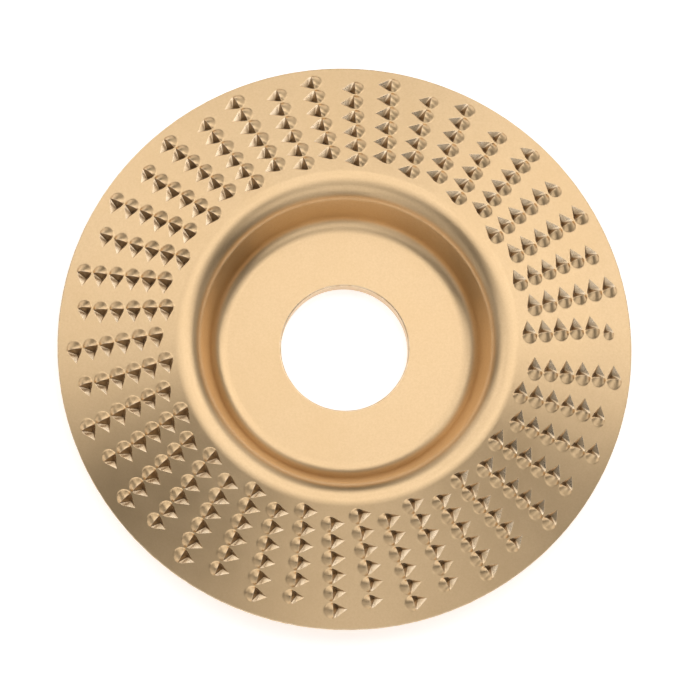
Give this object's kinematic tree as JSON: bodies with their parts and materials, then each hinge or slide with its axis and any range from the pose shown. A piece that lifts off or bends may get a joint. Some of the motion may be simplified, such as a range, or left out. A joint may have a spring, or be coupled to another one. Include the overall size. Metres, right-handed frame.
{
  "type": "angle grinder carving disc",
  "caption": "Pressed steel wood-carving disc with a sunken flat hub, a rounded ridge and a sloping cone covered in stitched rasp teeth.",
  "frame": {"origin": "centre of the bore at the back face of the hub, which is the face that lies on the grinder's flange", "axes": "+Z is the disc's axis, from the back towards the toothed working side; +X is at the wide gap between the first and the last row of teeth"},
  "size_m": [0.1, 0.1, 0.0121],
  "materials": {
    "plate": "satin gold-coloured coating on pressed steel",
    "teeth": "satin gold-coloured coating on pressed steel"
  },
  "bodies": {
    "root": {"disc_plate": "plate", "tooth_row_01": "teeth", "tooth_row_02": "teeth", "tooth_row_03": "teeth", "tooth_row_04": "teeth", "tooth_row_05": "teeth", "tooth_row_06": "teeth", "tooth_row_07": "teeth", "tooth_row_08": "teeth", "tooth_row_09": "teeth", "tooth_row_10": "teeth", "tooth_row_11": "teeth", "tooth_row_12": "teeth", "tooth_row_13": "teeth", "tooth_row_14": "teeth", "tooth_row_15": "teeth", "tooth_row_16": "teeth", "tooth_row_17": "teeth", "tooth_row_18": "teeth", "tooth_row_19": "teeth", "tooth_row_20": "teeth", "tooth_row_21": "teeth", "tooth_row_22": "teeth", "tooth_row_23": "teeth", "tooth_row_24": "teeth", "tooth_row_25": "teeth", "tooth_row_26": "teeth", "tooth_row_27": "teeth", "tooth_row_28": "teeth", "tooth_row_29": "teeth", "tooth_row_30": "teeth", "tooth_row_31": "teeth", "tooth_row_32": "teeth", "tooth_row_33": "teeth", "tooth_row_34": "teeth", "tooth_row_35": "teeth", "tooth_row_36": "teeth", "tooth_row_37": "teeth", "tooth_row_38": "teeth", "tooth_row_39": "teeth", "tooth_row_40": "teeth", "tooth_row_41": "teeth", "tooth_row_42": "teeth"}
  },
  "joints": []
}
